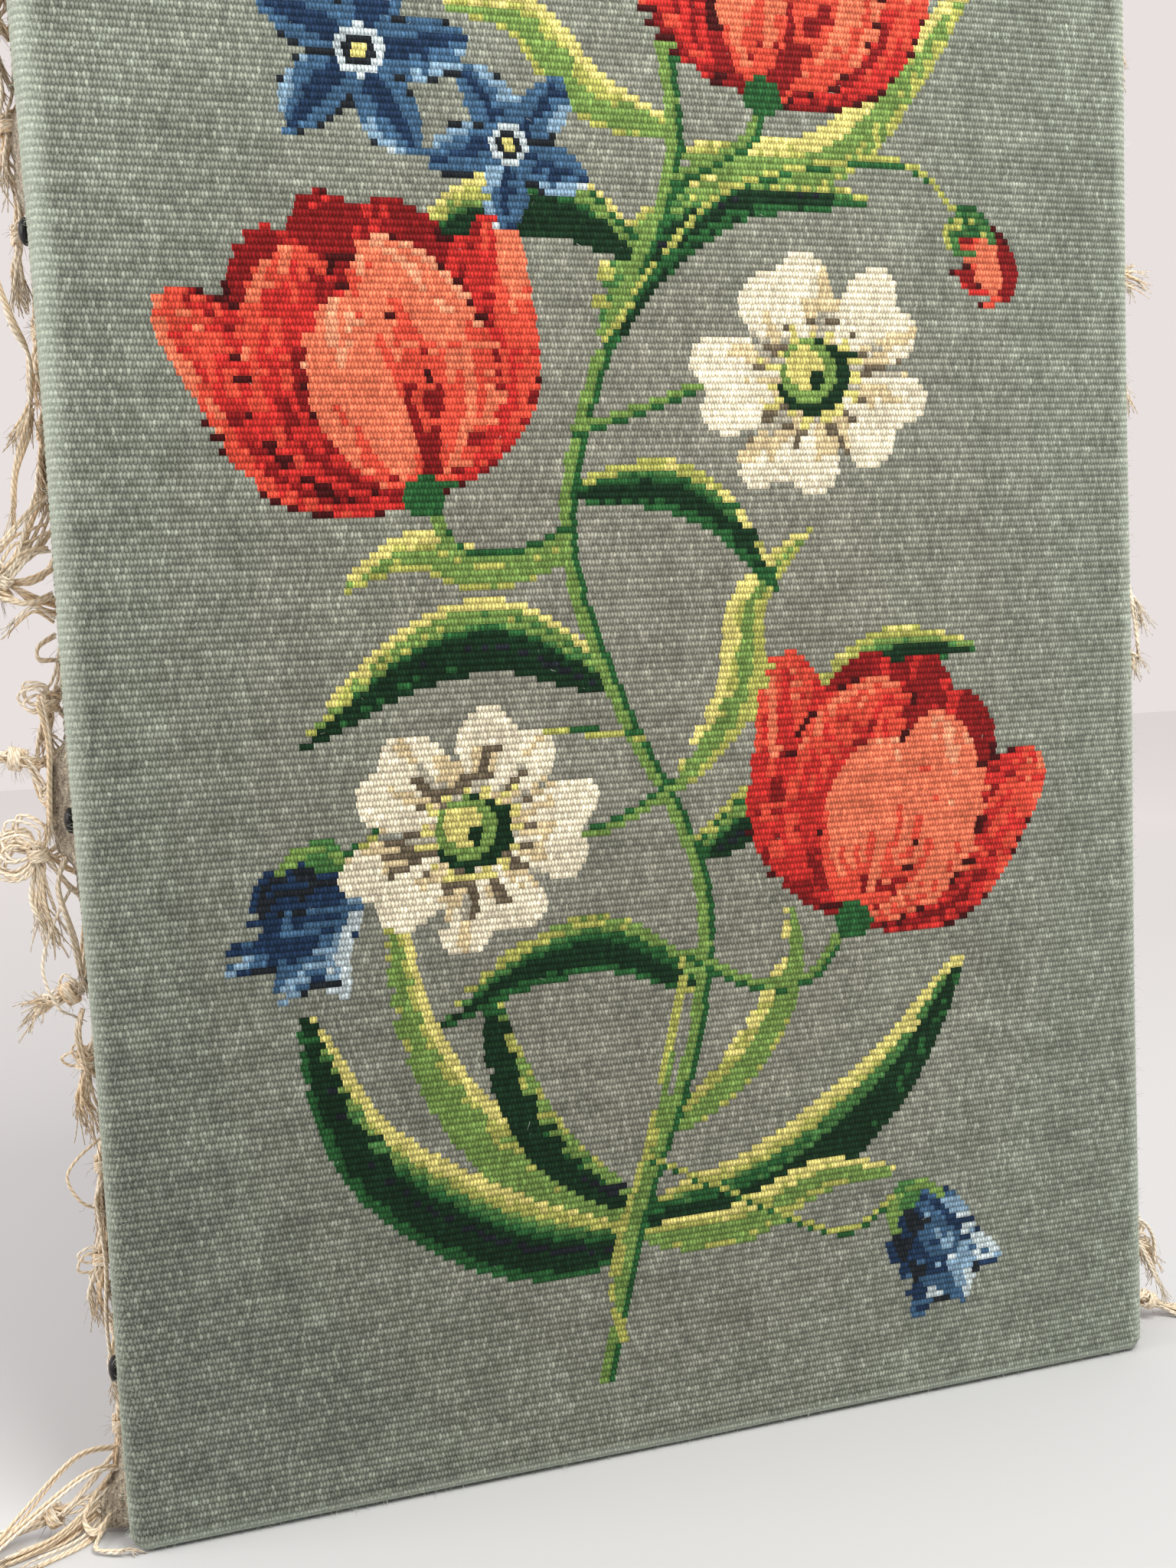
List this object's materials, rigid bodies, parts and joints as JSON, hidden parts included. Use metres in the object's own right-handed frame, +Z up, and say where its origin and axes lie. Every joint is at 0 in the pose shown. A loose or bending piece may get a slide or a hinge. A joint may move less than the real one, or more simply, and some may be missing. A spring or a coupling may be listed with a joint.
{
  "type": "tapestry on a wooden stretcher frame",
  "caption": "Upright flat-woven wool tapestry with raised warp ribs, nailed over a rectangular wooden stretcher frame, with knotted warp ends hanging loose from its left and right edges.",
  "frame": {"origin": "middle of the flat underside, on the surface that the panel stands on", "axes": "+Z up, -Y the way the woven face looks, +X to the right of someone who looks at the face"},
  "size_m": [0.4492, 0.0341, 0.54],
  "materials": {
    "wool": "matte ribbed wool weave, sage green",
    "cotton": "unbleached twisted cotton yarn",
    "wood": "planed unvarnished pine",
    "tack": "blued steel, half gloss"
  },
  "bodies": {
    "root": {"tapestry_cloth": "wool", "warp_fringe_left": "cotton", "warp_fringe_right": "cotton", "stretcher_bar_left": "wood", "stretcher_bar_right": "wood", "stretcher_bar_top": "wood", "stretcher_bar_bottom": "wood", "side_tack_left_1": "tack", "side_tack_left_2": "tack", "side_tack_left_3": "tack", "side_tack_left_4": "tack", "side_tack_right_1": "tack", "side_tack_right_2": "tack", "side_tack_right_3": "tack", "side_tack_right_4": "tack", "back_tack_top_1": "tack", "back_tack_top_2": "tack", "back_tack_top_3": "tack", "back_tack_bottom_1": "tack", "back_tack_bottom_2": "tack", "back_tack_bottom_3": "tack"}
  },
  "joints": []
}
